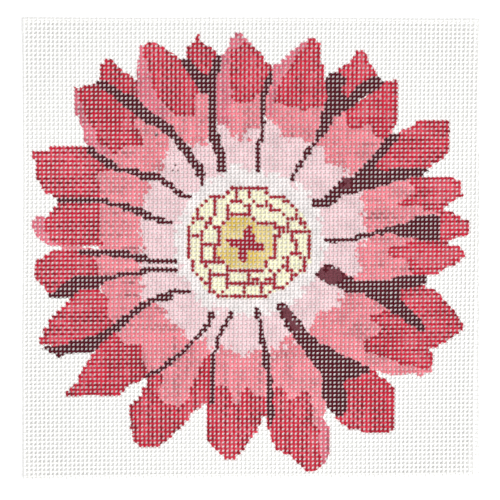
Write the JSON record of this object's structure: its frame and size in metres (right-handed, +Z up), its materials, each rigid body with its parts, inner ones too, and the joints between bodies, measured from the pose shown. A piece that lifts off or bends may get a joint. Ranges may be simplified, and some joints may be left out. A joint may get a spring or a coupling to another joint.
{
  "type": "painted needlepoint canvas",
  "caption": "Square of open-mesh cotton needlepoint canvas, hand-painted with one large pink daisy-like flower, lying flat, ready to stitch.",
  "frame": {"origin": "middle of the underside, on the surface the canvas lies on", "axes": "+Z up, out of the painted side; +Y towards the top edge of the painted picture; +X to its right"},
  "size_m": [0.2062, 0.209, 0.001],
  "materials": {
    "warp_cotton": "matt sized cotton thread, white, hand-painted in pinks",
    "weft_cotton": "matt sized cotton thread, white, hand-painted in pinks"
  },
  "bodies": {
    "root": {"warp_threads": "warp_cotton", "weft_threads": "weft_cotton"}
  },
  "joints": []
}
